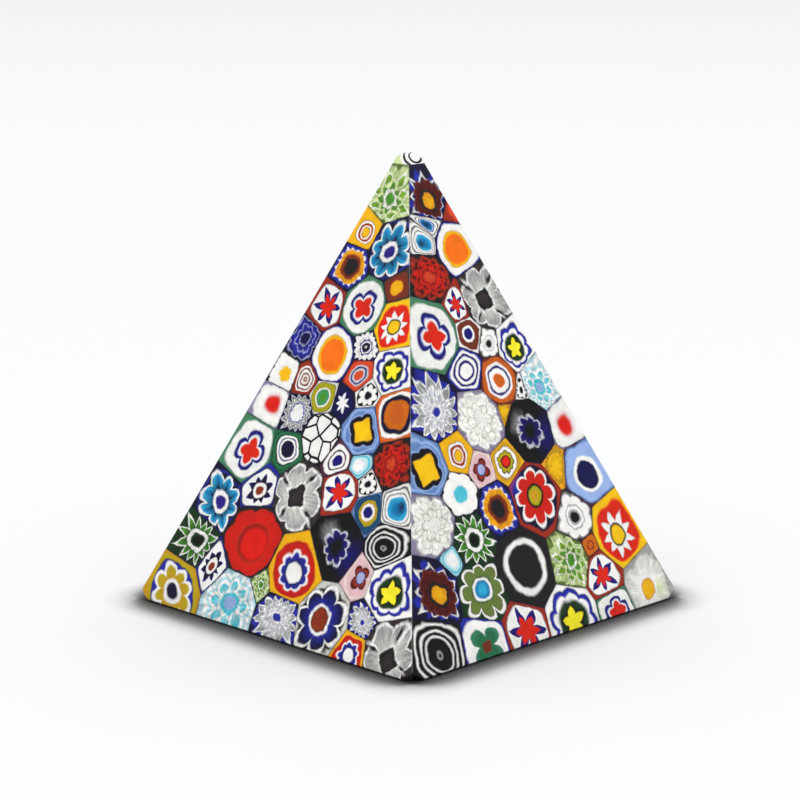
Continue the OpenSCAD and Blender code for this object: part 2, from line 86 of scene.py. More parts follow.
# ---------------------------------------------------------------- cane patterns
# ground colour, then layers from the outside in. Radius 1 is the border of the slice. A layer is
#   (colour, radius, lobes, depth, bluntness, turn)   a round, lobed or starred disc. Bluntness 1 makes
#       straight points, 2 and more round lobes, below 1 thin rays, and below 0 corners with hollow
#       or flat sides
#   ("petals", colour, ring radius, count, length, width, turn)   petals standing in a ring
#   ("spot", colour, x, y, radius, softness)          a disc off the middle with a soft edge
#   ("pebbles", colour, radius, size)                 packed rods with dark joints
# colour may be a pair (at the heart, at the rim).
CANES = {
    "green_lace": ("moss", [
        (("grass", "pale_green"), 0.98, 8, 0.16, 2), ("ivory", 0.90, 8, 0.42, 1.2),
        (("moss", "grass"), 0.80, 8, 0.44, 1.2),
        ("pale_green", 0.66, 8, 0.26, 1.3, 0.5), (("moss", "leaf"), 0.54, 8, 0.40, 1.2, 0.5),
        ("ivory", 0.34, 7, 0.16, 2), ("leaf", 0.24, 5, 0.1, 2)]),
    "amber_ring": ("gold", [
        (("ochre", "gold"), 0.92), ("brown", 0.68), ("white", 0.65), ("brown", 0.53), ("brick", 0.50),
        ("cream", 0.39), ("brown", 0.28), ("gold", 0.24)]),
    "teal_flower": ("night", [
        ("cobalt", 0.98, 6, 0.1, 2), ("night", 0.93, 6, 0.1, 2), ("white", 0.95, 8, 0.27, 2.6),
        (("deep_teal", "sky"), 0.85, 8, 0.32, 2.6), ("petals", "teal", 0.60, 8, 0.22, 0.09, 0),
        ("petals", "night", 0.44, 8, 0.13, 0.05, 0), ("white", 0.37), ("violet", 0.22)]),
    "sunflower": ("night", [
        ("cobalt", 0.95, 8, 0.05, 2), ("white", 0.86, 16, 0.15, 1), ("amber", 0.77, 9, 0.08, 2),
        (("brick", "amber"), 0.72), (("black", "red_brown"), 0.54), ("coal", 0.36)]),
    "amber_eye": ("dusk", [(("red_brown", "brown"), 0.92), ("brick", 0.54), (("gold", "amber"), 0.47)]),
    "quatrefoil": ("mint_edge", [
        (("mint", "white"), 0.90), ("navy", 0.66, 4, 0.34, 3.2), ("blue", 0.54, 4, 0.40, 2.8),
        ("white", 0.51, 4, 0.42, 2.4), ("red", 0.45, 4, 0.42, 1.3)]),
    "red_star": ("brick", [
        ("maroon", 0.88), ("white", 0.85), ("navy", 0.82, 6, 0.66, 1), ("red", 0.50, 6, 0.50, 1)]),
    "sunburst": ("yellow", [
        ("orange", 0.86), ("red", 0.83), ("silver", 0.70, 9, 0.46, 1), ("white", 0.66, 9, 0.46, 1),
        ("black", 0.33), ("yellow", 0.26)]),
    "violet_rosette": ("night", [
        ("lilac", 0.95, 11, 0.10, 1.6), ("navy", 0.89, 11, 0.12, 1.6), ("cobalt", 0.78, 11, 0.08, 2),
        ("lilac", 0.66, 8, 0.22, 2), (("night", "cobalt"), 0.60, 8, 0.24, 2), ("lilac", 0.36, 6, 0.1, 2),
        ("ink", 0.29)]),
    "orange_egg": ("ink", [
        ("cobalt", 0.985), ("white", 0.94), ("ochre", 0.70), ("gold", 0.68), ("orange", 0.58)]),
    "white_frill": ("ink", [
        ("white", 0.98, 14, 0.20, 1.2), ("mauve", 0.66, 9, 0.14, 1.4), ("white", 0.62, 9, 0.14, 1.4),
        ("navy", 0.54, 8, 0.16, 2), ("white", 0.42, 8, 0.1, 2), ("navy", 0.32), ("black", 0.26),
        ("silver", 0.08)]),
    "coral_target": ("brick", [
        ("coral", 0.95), ("silver", 0.68), ("navy", 0.58), ("silver", 0.46), ("coral", 0.32)]),
    "yellow_star": ("white", [
        ("navy", 0.91, 8, 0.14, 2), ("cobalt", 0.86, 8, 0.15, 2), ("white", 0.75, 8, 0.17, 2),
        ("smoke", 0.59),
        ("forest", 0.55), ("black", 0.50, 5, 0.3, 1), ("lemon", 0.44, 5, 0.48, 1)]),
    "lemon_spot": ("coal", [
        ("white", 0.97, 11, 0.06, 3), ("cream", 0.52, 5, 0.2, 2), (("gold", "yellow"), 0.45, 5, 0.2, 2)]),
    "brown_ring": ("brown", [
        ("brick", 0.96), ("white", 0.78), ("brown", 0.68), ("white", 0.58), ("brown", 0.42),
        ("shell", 0.32),
        ("brown", 0.16), ("cream", 0.07)]),
    "lime_eye": ("white", [
        ("dusk", 0.93), ("lime", 0.90), ("white", 0.57), ("dusk", 0.47), (("leaf", "jade"), 0.44)]),
    "night_star": ("night", [
        ("ink", 0.86), ("blue", 0.62, 7, 0.56, 1), ("white", 0.60, 7, 0.58, 1)]),
    "domino_flower": ("white", [
        ("black", 0.88), ("white", 0.81, 8, 0.34, 2.2), ("silver", 0.36), ("black", 0.28)]),
    "terracotta": ("rust", [
        ("orange", 0.97), ("rust", 0.95), ("white", 0.88), ("night", 0.79, 4, 0.06, -2),
        ("terracotta", 0.63, 4, 0.12, -2), ("rust", 0.4, 4, 0.1, -2)]),
    "red_dot": ("mauve", [
        ("opal", 0.96, 9, 0.06, 3), ("white", 0.8), ("spot", "pink", 0.05, 0, 0.50, 0.2),
        ("spot", "red", 0, 0, 0.42, 0.12), ("spot", "poppy", 0.04, 0.04, 0.28, 0.2)]),
    "lilac_frill": ("night", [
        ("silver", 0.99, 14, 0.24, 1), ("dusk", 0.88, 14, 0.24, 1), ("fold", 0.80, 14, 0.24, 1),
        ("navy", 0.64, 14, 0.2, 1), ("silver", 0.58, 14, 0.16, 1), ("cobalt", 0.50),
        ("white", 0.46, 12, 0.08, 1)]),
    "yellow_leaf": ("slate", [
        ("pale_blue", 0.96, 5, 0.1, 2), ("slate", 0.88, 5, 0.12, 2), ("pale_blue", 0.80, 4, 0.22, 2),
        ("night", 0.75, 4, 0.24, 2), ("black", 0.66, 4, 0.2, 2), ("dusk", 0.66, 4, 0.36, -1.6),
        (("yellow", "gold"), 0.62, 4, 0.36, -1.6)]),
    "pebble": ("black", [("pebbles", "white", 0.99, 1.6)]),
    "green_target": ("emerald", [
        ("forest", 0.97), ("emerald", 0.93), ("black", 0.79), ("white", 0.72), ("navy", 0.60),
        ("white", 0.53),
        ("night", 0.43)]),
    "plum_target": ("plum", [
        ("white", 0.88), ("dusk", 0.64), ("plum", 0.62), ("white", 0.54), ("navy", 0.34)]),
    "ice": ("steel", [
        (("sky", "ice"), 0.94), ("cyan", 0.86), (("white", "ice"), 0.74), ("white", 0.50, 6, 0.2, 1)]),
    "red_rose": ("coal", [
        (("scarlet", "brick"), 0.96, 9, 0.16, 2.2), ("maroon", 0.80, 9, 0.14, 2),
        ("scarlet", 0.76, 9, 0.2, 2, 0.5),
        ("maroon", 0.60, 8, 0.16, 2, 0.2), (("red", "scarlet"), 0.56, 8, 0.22, 2),
        ("maroon", 0.36, 6, 0.18, 2),
        (("coral", "scarlet"), 0.32, 6, 0.2, 2)]),
    "smoke_petal": ("dusk", [
        ("white", 1.0, 6, 0.26, 2.4), (("fold", "smoke"), 0.93, 6, 0.29, 2.4),
        ("petals", "white", 0.68, 4, 0.26, 0.07, 0.16),
        ("petals", "coal", 0.70, 4, 0.20, 0.06, 0.1), ("opal", 0.48, 4, 0.27, -1.9),
        ("coal", 0.40, 4, 0.27, -1.9),
        (("dusk", "coal"), 0.32, 4, 0.27, -1.9)]),
    "navy_star": ("cobalt", [
        ("night", 0.95), ("white", 0.90), ("cobalt", 0.75, 8, 0.40, 1), ("night", 0.68, 8, 0.36, 1.2),
        ("white", 0.36), ("red_brown", 0.20)]),
    "steel_target": ("slate", [
        ("deep_teal", 0.95), ("steel", 0.90), ("deep_teal", 0.72), ("lime", 0.66), ("ochre", 0.58),
        ("white", 0.47),
        ("navy", 0.32)]),
    "teal_drop": ("black", [
        ("white", 0.96), ("black", 0.88), ("white", 0.82), ("black", 0.71), ("white", 0.67),
        (("teal", "sky"), 0.56), ("spot", "deep_teal", 0.22, 0.14, 0.2, 0.16)]),
    "teal_lens": ("white", [
        ("black", 0.90), ("white", 0.83), ("black", 0.70), ("pale_blue", 0.64),
        (("deep_teal", "teal"), 0.52)]),
    "green_burst": ("forest", [
        ("white", 0.99, 12, 0.40, 1.1), (("forest", "leaf"), 0.88, 12, 0.42, 1.1),
        ("white", 0.46), ("forest", 0.30), ("black", 0.2)]),
    "red_poppy": ("coal", [
        (("poppy", "scarlet"), 0.97, 7, 0.08, 2.4), ("spot", "brick", 0, 0, 0.56, 0.08),
        ("spot", "dark_red", 0.02, 0.02, 0.52, 0.05), ("spot", "poppy", 0.05, -0.01, 0.47, 0.08)]),
    "midnight_flower": ("black", [
        ("spot", "navy", 0.62, -0.2, 0.35, 0.5), ("spot", "grey", -0.36, 0.34, 0.26, 0.26),
        ("silver", 0.58, 8, 0.26, 2.2), (("night", "navy"), 0.50, 8, 0.30, 2.2),
        ("black", 0.22, 8, 0.3, 2.2)]),
    "swirl": ("black", [
        ("white", 0.93), ("black", 0.85), ("white", 0.70), ("black", 0.63), ("white", 0.52),
        ("black", 0.46),
        ("smoke", 0.12), ("black", 0.06)]),
    "olive_flower": ("ochre", [
        ("olive", 0.93), ("night", 0.83), ("cobalt", 0.80), ("white", 0.78, 8, 0.24, 2.2),
        (("ochre", "olive"), 0.67, 8, 0.36, 2.2),
        ("white", 0.34), ("night", 0.23)]),
    "aqua_flower": ("ice", [
        ("white", 1.0, 8, 0.12, 2), (("aqua", "ice"), 0.92, 8, 0.22, 2), ("white", 0.80, 8, 0.24, 1.6),
        (("ice", "aqua"), 0.68, 8, 0.36, 1.4), ("white", 0.46, 8, 0.3, 1.4, 0.5), ("aqua", 0.33),
        ("pale_blue", 0.22)]),
    "gold_flower": ("gold", [
        ("orange", 0.86), ("dark_red", 0.83), ("scarlet", 0.80), ("white", 0.64, 9, 0.18, 2),
        (("night", "cobalt"), 0.55, 9, 0.20, 2),
        ("white", 0.30)]),
    "pink_clover": ("pink", [
        ("shell", 0.94), ("pink", 0.86), ("maroon", 0.66, 4, 0.36, 2.2), ("brick", 0.52, 4, 0.36, 2),
        ("plum", 0.40, 4, 0.2, 2),
        ("slate", 0.31), ("lilac", 0.27)]),
    "silver_lace": ("night", [
        ("cobalt", 0.99, 12, 0.10, 2), ("white", 0.98, 14, 0.30, 1),
        (("silver", "smoke"), 0.88, 14, 0.30, 1),
        ("white", 0.66, 10, 0.24, 1.2), ("silver", 0.58, 10, 0.26, 1.2), ("white", 0.40, 8, 0.2, 1.2),
        ("silver", 0.33, 8, 0.2, 2), ("white", 0.22), ("cobalt", 0.15)]),
    "ink_flower": ("fold", [
        ("dusk", 0.985, 7, 0.1, 2), ("white", 0.98, 7, 0.28, 2.8),
        (("cobalt", "night"), 0.86, 7, 0.32, 2.8),
        ("white", 0.42), ("maroon", 0.33), ("red_brown", 0.29)]),
    "maroon_flower": ("night", [
        ("cobalt", 0.99, 9, 0.22, 1), ("white", 0.93, 10, 0.26, 1), ("ink", 0.84, 10, 0.20, 1),
        ("brown", 0.79, 11, 0.15, 1.6),
        ("maroon", 0.72, 11, 0.13, 1.6), ("coal", 0.43), ("amber", 0.31), ("gold", 0.16)]),
    "rust_target": ("white", [
        ("maroon", 0.88), ("brown", 0.84), ("maroon", 0.54), ("white", 0.50), ("navy", 0.34)]),
    "smoke_daisy": ("dusk", [
        ("grey", 0.98, 8, 0.1, 2), ("white", 0.92, 8, 0.16, 2), ("grey", 0.54, 8, 0.1, 2),
        ("white", 0.49, 8, 0.1, 2),
        ("smoke", 0.34), ("black", 0.25)]),
    "navy_square": ("night", [
        ("cobalt", 0.97), ("white", 0.88), ("navy", 0.76), ("white", 0.64), ("navy", 0.50),
        ("white", 0.37)]),
    "rust_ring": ("brown", [
        ("rust", 0.96), ("white", 0.74), ("navy", 0.62), ("white", 0.52), ("orange", 0.31),
        ("rust", 0.27)]),
    "yellow_chip": ("amber", [("ochre", 0.9), (("yellow", "gold"), 0.7)]),
    "ivory_flower": ("mauve", [
        ("smoke", 0.985, 9, 0.14, 2.2), ("white", 0.95, 9, 0.16, 2.2), ("fold", 0.82, 9, 0.22, 2),
        ("ivory", 0.78, 9, 0.26, 2),
        ("smoke", 0.58, 8, 0.26, 1.6, 0.5), ("ivory", 0.54, 8, 0.30, 1.6, 0.5), ("fold", 0.32, 6, 0.16, 2),
        ("white", 0.28, 6, 0.2, 2)]),
    "green_daisy": ("gold", [
        ("ochre", 0.92), ("brown", 0.77), ("white", 0.74), ("forest", 0.60, 9, 0.18, 2),
        ("lime", 0.54, 9, 0.26, 2),
        ("olive", 0.42), ("maroon", 0.33), ("red", 0.24)]),
    "cyan_daisy": ("coal", [("white", 0.98, 8, 0.10, 2.4), ("ice", 0.42), ("cyan", 0.39, 7, 0.06, 1)]),
    "scarlet_flower": ("brick", [
        ("night", 0.91), ("spot", "cobalt", -0.4, 0.55, 0.3, 0.3), ("white", 0.84, 8, 0.26, 2.6),
        ("scarlet", 0.75, 8, 0.30, 2.6), ("black", 0.34), ("lime", 0.26), ("ochre", 0.16)]),
    "blue_eye": ("plum", [
        ("slate", 0.98), ("pale_blue", 0.92), ("white", 0.58), ("dusk", 0.44), ("ink", 0.42)]),
    "black_eye": ("coal", [("grey", 0.76), ("white", 0.73), ("smoke", 0.59), ("coal", 0.57)]),
    "orange_square": ("brown", [("terracotta", 0.90), ("red_brown", 0.5, 4, 0.1, -2),
        ("rust", 0.34, 4, 0.1, -2)]),
    "green_petal": ("forest", [
        ("white", 0.97, 8, 0.26, 2.6), ("maroon", 0.87, 8, 0.30, 2.6), ("moss", 0.85, 8, 0.30, 2.6),
        ("forest", 0.47, 8, 0.06, 2),
        ("white", 0.42), (("sky", "teal"), 0.33)]),
    "green_clover": ("cobalt", [
        ("white", 0.92), ("clover", 0.68, 4, 0.52, 3), ("emerald", 0.5, 4, 0.5, 3),
        ("brown", 0.22, 4, 0.2, 2)]),
    "egg_smoke": ("smoke", [
        (("white", "fold"), 0.97, 6, 0.10, 2), ("petals", "opal", 0.66, 9, 0.24, 0.08, 0),
        ("spot", "pale_green", 0.5, -0.1, 0.2, 0.3), ("spot", "white", -0.2, 0.3, 0.1, 0.3),
        ("white", 0.42), ("terracotta", 0.31), ("gold", 0.28)]),
}
# share of drawn-glass streaks and folds in a cane, 0 to 1 (LIGHT_STREAKS where none is given)
STREAKS = {
    "green_lace": 0.8, "silver_lace": 0.8, "ivory_flower": 0.5, "smoke_petal": 0.55, "egg_smoke": 0.25,
    "lilac_frill": 0.5, "red_rose": 0.9, "aqua_flower": 0.6, "violet_rosette": 0.7, "yellow_chip": 0.6,
    "midnight_flower": 0.6, "maroon_flower": 0.6, "sunflower": 0.5, "ink_flower": 0.4, "teal_flower": 0.4,
    "green_burst": 0.5, "white_frill": 0.4,
}

# Middles and turns of the patterns, read for slices on the two sides seen in front:
# cane -> (side, across in mm, up the slope in mm, turn in degrees). All other slices get their
# middle from their own outline and their turn from a seeded draw.
SEEN = {
    "amber_ring": [(0, -3.5, 67.7, 0), (1, -9.4, 32, 0)],
    "teal_flower": [(0, 2.9, 65.1, 10), (0, -19.1, 19.2, 10)],
    "sunflower": [(0, -4.6, 61.8, 0), (1, -4, 22.3, 0)],
    "quatrefoil": [(0, 0.6, 55.4, 17), (0, -15.5, 28.7, 38), (1, -7.1, 51.4, 43), (1, 16.6, 0.9, 45)],
    "red_star": [(0, -7.2, 54.6, 30), (0, 6.7, 25.6, 30), (1, -0.3, 55.9, 60), (1, 15.3, 7.2, 60),
        (1, -5.2, 2.4, 20)],
    "sunburst": [(0, 8.4, 53.1, 5), (1, 21.9, 12.9, 5)],
    "violet_rosette": [(0, -10.3, 48.8, 0)],
    "orange_egg": [(0, -3.2, 46.9, 0), (1, 3.4, 64.9, 0)],
    "yellow_star": [(0, 10.8, 46.2, 60), (0, 23.1, 12.2, 62), (1, 10.3, 47, 54), (1, 5.7, 1.4, 54)],
    "lemon_spot": [(0, -12.6, 42.3, 0)],
    "red_dot": [(0, -13.5, 37, 0), (1, 16.8, 32.7, 90)],
    "yellow_leaf": [(0, 8, 35.9, 24), (1, -17.1, 30.9, 10)],
    "night_star": [(0, 2, 39.6, 10)],
    "green_target": [(0, -7.2, 30.3, 0)],
    "plum_target": [(0, 4.4, 30.4, 0)],
    "ice": [(0, 9.2, 30.4, 0), (1, -17.1, 16.4, 0)],
    "smoke_petal": [(0, -2.3, 23.2, 20), (0, 26.4, 2.4, 40), (1, 6.4, 55.9, 15)],
    "navy_star": [(0, -10.9, 22.7, 10), (0, -16.9, 8.6, 0)],
    "teal_drop": [(0, 19.8, 25.1, 0), (1, -3.4, 66.6, 150)],
    "teal_lens": [(1, -1.8, 69.6, 150)],
    "green_burst": [(0, -21.9, 12.1, 0), (1, -11.1, 18.5, 0)],
    "red_poppy": [(0, -9.1, 13.9, 0)],
    "olive_flower": [(0, -24.5, 2.7, 0)],
    "aqua_flower": [(0, -10.3, 3.7, 20), (1, 13.5, 39.8, 0)],
    "gold_flower": [(0, 1.8, 11.4, 0), (0, 18.1, 1.3, 0)],
    "midnight_flower": [(0, 9.4, 17, 0), (1, 8.1, 33.1, 0)],
    "swirl": [(0, 19.2, 18.8, 0), (1, -25.4, 2.9, 0)],
    "pink_clover": [(0, 16.2, 13.4, 0), (1, -5.3, 28.9, 20)],
    "ink_flower": [(0, 10.1, 5.2, 0)],
    "silver_lace": [(0, 0.9, 3.7, 0), (0, 19.2, 6.8, 0), (1, -11.4, 39.7, 0)],
    "maroon_flower": [(1, 0.4, 73.3, 0), (1, -21.9, 11.8, 0)],
    "coral_target": [(0, 3.9, 44.5, 0), (1, 8, 70.8, 0)],
    "ivory_flower": [(1, -2.3, 36.7, 0), (1, -18.8, 22.4, 0)],
    "green_petal": [(1, -12.4, 10.7, 20)],
    "green_clover": [(1, -14.9, 2, 0)],
    "black_eye": [(1, -1.7, 12.2, 0)],
    "green_lace": [(0, -0.2, 73.7, 0), (1, 9, 11.1, 0)],
    "egg_smoke": [(1, 25.5, 2.9, 0)],
    "scarlet_flower": [(1, 5.1, 22.7, 22)],
    "blue_eye": [(1, 18.8, 23.9, 0)],
    "terracotta": [(0, 14.1, 39.6, -8)],
}

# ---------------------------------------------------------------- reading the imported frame

SLICES = "_slices"
SAME_POINT = 0.0005 * MM         # corners closer than this are one corner
FLAT_BEND = math.radians(0.2)    # faces that bend less than this are one flat face
SAME_CORNER = 0.02               # outline corners closer than this are one, mm
STRAIGHT = 0.004                 # an outline corner that turns less than this is left out, mm2
JUST_BEYOND = 0.12               # how far past an edge to look for the neighbour, mm
SHORT_EDGE = 0.3                 # edges shorter than this say nothing about the cane, mm
CUT_SLICE_GROWTH = 1.12          # a slice cut by the rim of its side came from a larger cane
HOLD_WHOLE, HOLD_CUT = 0.25, 0.8     # pull of the first guess, for whole and for cut slices
LEAST_RADIUS, LEAST_REACH = 0.8, 0.3     # mm
DIRECTIONS = 48                  # directions in which an outline is measured
CORNER_POWER = 9                 # higher powers keep more of an outline's corners
OVAL_SHARE = 0.85                # how much of a slice's oval shape its pattern takes on


def solids_of(node):
    """The separate solids of a CAD node, each a bmesh with flat faces joined."""
    whole = bmesh.new()
    whole.from_mesh(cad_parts[node].data)
    bmesh.ops.remove_doubles(whole, verts=whole.verts, dist=SAME_POINT)
    bmesh.ops.dissolve_limit(whole, angle_limit=FLAT_BEND, verts=whole.verts, edges=whole.edges)
    whole.faces.ensure_lookup_table()
    found, seen = [], set()
    for start in whole.faces:
        if start not in seen:
            found.append(copy_of(joined_faces(start, seen)))
    whole.free()
    return found


def joined_faces(start, seen):
    """All faces that hang together with the first one, which are then marked as seen."""
    group, front = [], [start]
    seen.add(start)
    while front:
        face = front.pop()
        group.append(face)
        for edge in face.edges:
            for other in edge.link_faces:
                if other not in seen:
                    seen.add(other)
                    front.append(other)
    return group


def copy_of(faces):
    """A bmesh of its own, made of these faces."""
    solid = bmesh.new()
    copied = {}
    for face in faces:
        for v in face.verts:
            if v not in copied:
                copied[v] = solid.verts.new(v.co)
        solid.faces.new([copied[v] for v in face.verts])
    solid.normal_update()
    return solid


class Side:
    """One sloping face of the pyramid, with its own flat measures: across and up the slope, in mm."""

    def __init__(self, turn, tilt, reach):
        self.normal = Matrix.Rotation(turn, 3, "Z") @ Vector((0, -math.sin(tilt), math.cos(tilt)))
        self.up = Matrix.Rotation(turn, 3, "Z") @ Vector((0, math.cos(tilt), math.sin(tilt)))
        self.across = self.up.cross(self.normal)
        self.reach = reach                                    # plane distance from the origin, metres
        self.half = reach / math.sin(tilt) / MM               # half the bottom edge
        self.rise = self.half / math.cos(tilt)                # bottom edge to apex along the slope

    def flat(self, p):
        """A point's place on this side: across and up the slope."""
        on = p - (self.normal.dot(p) - self.reach) * self.normal
        return on.dot(self.across) / MM, on.z / self.up.z / MM

    def on_ridge(self, u, v):
        """Distance from a place on this side to the nearer ridge line."""
        return abs(abs(u) - self.half * (1 - v / self.rise)) * self.rise / math.hypot(self.half, self.rise)

    def foot(self):
        """The middle of the bottom edge, in metres."""
        return Vector((self.normal.x, self.normal.y, 0)).normalized() * self.half * MM


def sides_of_pyramid(groups):
    """The four sides, with the tilt and reach measured on the largest sloping face."""
    sloping = [face for solids in groups.values() for solid in solids for face in solid.faces
               if 0.1 < face.normal.z < 0.8]
    best = max(sloping, key=lambda face: face.calc_area())
    tilt = math.acos(best.normal.z)
    reach = best.normal.dot(best.verts[0].co)
    return [Side(k * math.pi / 2, tilt, reach) for k in range(4)]


def outline_of(points):
    """Corners of the convex outline round flat points, in turning order, without straight-line repeats."""
    points = sorted({(round(u, 3), round(v, 3)) for u, v in points})
    points = [p for i, p in enumerate(points) if all(math.dist(p, q) > SAME_CORNER for q in points[:i])]
    ring = [points[i] for i in convex_hull_2d(points)]
    kept = []
    for i, b in enumerate(ring):
        a, c = ring[i - 1], ring[(i + 1) % len(ring)]
        bend = (b[0] - a[0]) * (c[1] - b[1]) - (b[1] - a[1]) * (c[0] - b[0])
        if abs(bend) > STRAIGHT:
            kept.append(b)
    return kept


def pairs_round(ring):
    """Each corner of an outline with the next one."""
    return list(zip(ring, ring[1:] + ring[:1]))


def centroid_of(ring):
    """Middle and signed area of an outline."""
    area = sum(a[0] * b[1] - a[1] * b[0] for a, b in pairs_round(ring)) / 2
    cu = cv = 0
    for a, b in pairs_round(ring):
        w = (a[0] * b[1] - a[1] * b[0]) / (6 * area)
        cu += (a[0] + b[0]) * w
        cv += (a[1] + b[1]) * w
    return (cu, cv), area


def edges_of(ring):
    """Each edge as (middle, inward unit normal, length)."""
    way = 1 if centroid_of(ring)[1] > 0 else -1
    rows = []
    for a, b in pairs_round(ring):
        du, dv = b[0] - a[0], b[1] - a[1]
        length = math.hypot(du, dv)
        if length > 1e-4:
            middle = ((a[0] + b[0]) / 2, (a[1] + b[1]) / 2)
            rows.append((middle, (-way * dv / length, way * du / length), length))
    return rows


def gap(edge, p):
    """Distance from a point to an edge's line, positive inside."""
    (mu, mv), (nu, nv), _ = edge
    return (p[0] - mu) * nu + (p[1] - mv) * nv


class Slice:
    """One slice of cane: its solid, its side of the pyramid, its outline and the map of its cross section."""

    def __init__(self, cane, solid, sides):
        self.cane, self.solid = cane, solid
        face = max(solid.faces, key=lambda f: max(
            f.calc_area() if f.normal.dot(s.normal) > 0.9999 else 0 for s in sides))
        self.k = max(range(4), key=lambda k: face.normal.dot(sides[k].normal))
        self.side = sides[self.k]
        self.ring = outline_of([self.side.flat(v.co) for v in solid.verts])
        self.edges = edges_of(self.ring)

    def holds(self, p):
        return all(gap(e, p) > 0 for e in self.edges)

    def settle(self, others, rng):
        """Finds which edges meet another slice, then the middle, the radius and the turn of the cane."""
        self.inner = []
        for e in self.edges:
            (mu, mv), (nu, nv), length = e
            beyond = (mu - JUST_BEYOND * nu, mv - JUST_BEYOND * nv)
            if length > SHORT_EDGE and any(o is not self and o.holds(beyond) for o in others):
                self.inner.append(e)
        whole = len(self.inner) >= len(self.edges)
        centre, area = centroid_of(self.ring)
        prior = math.sqrt(abs(area) / math.pi) * (1 if whole else CUT_SLICE_GROWTH)
        self.middle, self.radius = self.fitted(centre, prior, HOLD_WHOLE if whole else HOLD_CUT)
        self.turn = rng.uniform(0, 2 * math.pi)
        self.seed = (rng.random(), rng.random())

    def map_out(self):
        """Measures the outline from the middle in every direction."""
        self.reaches = []
        for e in self.edges:
            away = gap(e, self.middle)
            if e not in self.inner:
                away = max(away, self.radius)
            self.reaches.append((e[1], max(away, LEAST_REACH)))
        step = 2 * math.pi / DIRECTIONS
        rows = [self.reach(i * step) for i in range(DIRECTIONS)]
        self.mean = sum(rows) / DIRECTIONS
        self.oval = (sum(r * math.cos(2 * i * step) for i, r in enumerate(rows)) / (DIRECTIONS / 2),
                     sum(r * math.sin(2 * i * step) for i, r in enumerate(rows)) / (DIRECTIONS / 2))

    def fitted(self, middle, prior, hold):
        """Circle that best touches the edges shared with neighbours, held a little to a first guess."""
        m = [[hold, 0, 0], [0, hold, 0], [0, 0, hold]]
        y = [hold * middle[0], hold * middle[1], hold * prior]
        for (mu, mv), (nu, nv), length in self.inner:
            row, d = (nu, nv, -1), mu * nu + mv * nv
            for i in range(3):
                y[i] += length * row[i] * d
                for j in range(3):
                    m[i][j] += length * row[i] * row[j]
        cu, cv, r = Matrix(m).inverted() @ Vector(y)
        return (cu, cv), max(r, LEAST_RADIUS)

    def reach(self, angle):
        """How far the rounded outline is from the middle, in one direction."""
        eu, ev = math.cos(angle), math.sin(angle)
        total = 0
        for (nu, nv), away in self.reaches:
            toward = -(nu * eu + nv * ev)
            if toward > 1e-6:
                total += (toward / away) ** CORNER_POWER
        return total ** (-1 / CORNER_POWER) if total else self.mean

    def place(self, p):
        """A point's place in the cross section: (x, y), with the border at 1, and its distance in mm."""
        u, v = self.side.flat(p)
        du, dv = u - self.middle[0], v - self.middle[1]
        far = math.hypot(du, dv)
        border = min([gap(e, (u, v)) for e in self.inner], default=1)
        if far < 1e-6:
            return 0, 0, border
        angle = math.atan2(dv, du)
        edge = self.reach(angle)
        oval = self.oval[0] * math.cos(2 * angle) + self.oval[1] * math.sin(2 * angle)
        # the pattern is oval at the heart and takes on the outline toward the border
        k = min(far / edge, 1) ** 2
        w = far * ((1 - k) / (self.mean + OVAL_SHARE * oval) + k / edge)
        return w * math.cos(angle - self.turn), w * math.sin(angle - self.turn), border


def read_slices():
    """Every slice in the frame, by cane, with its middle, turn and outline map settled."""
    groups = {node[:-len(SLICES)]: solids_of(node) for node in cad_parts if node.endswith(SLICES)}
    sides = sides_of_pyramid(groups)
    slices = {cane: [Slice(cane, solid, sides) for solid in solids] for cane, solids in groups.items()}
    every = [s for rows in slices.values() for s in rows]
    for cane in sorted(slices):
        for i, s in enumerate(sorted(slices[cane], key=lambda s: (s.k, round(s.ring[0][0], 1)))):
            s.settle([o for o in every if o.k == s.k], random.Random(cane + str(i)))
        for side, u, v, turn in SEEN.get(cane, ()):
            rows = [s for s in slices[cane] if s.k == side]
            nearest = min(rows, key=lambda s: math.dist(s.middle, (u, v)))
            nearest.middle, nearest.turn = (u, v), math.radians(turn)
    for s in every:
        s.map_out()
    return slices


# ---------------------------------------------------------------- slices as finely divided solids

FINE_STEP = 0.5                        # size of the grid that divides a slice, mm
SHARP_EDGE = math.radians(24)          # edges that bend more than this stay sharp


def cut_fine(solid, side):
    """Divides a solid's surface along a grid of planes square to its side."""
    flats = [side.flat(v.co) for v in solid.verts]
    ways = ((side.across, Vector(), [f[0] for f in flats]), (side.up, side.foot(), [f[1] for f in flats]))
    for way, origin, values in ways:
        low, high = min(values), max(values)
        count = max(1, math.ceil((high - low) / FINE_STEP))
        for i in range(1, count):
            at = origin + way * (low + (high - low) * i / count) * MM
            bmesh.ops.bisect_plane(solid, geom=solid.verts[:] + solid.edges[:] + solid.faces[:],
                                   dist=1e-8, plane_co=at, plane_no=way)


def slices_piece(cane, slices):
    """All slices of one cane as one object that knows its cross sections."""
    joined = bmesh.new()
    cane_at = joined.verts.layers.float_vector.new("cane")
    slice_at = joined.verts.layers.float_vector.new("slice")
    for s in slices:
        cut_fine(s.solid, s.side)
        copied = {}
        for v in s.solid.verts:
            new = joined.verts.new(v.co)
            new[cane_at] = Vector(s.place(v.co))
            new[slice_at] = Vector((s.seed[0], s.seed[1], s.side.on_ridge(*s.side.flat(v.co))))
            copied[v] = new
        for face in s.solid.faces:
            joined.faces.new([copied[v] for v in face.verts])
    joined.normal_update()
    return finished(joined, cane + "_glass")


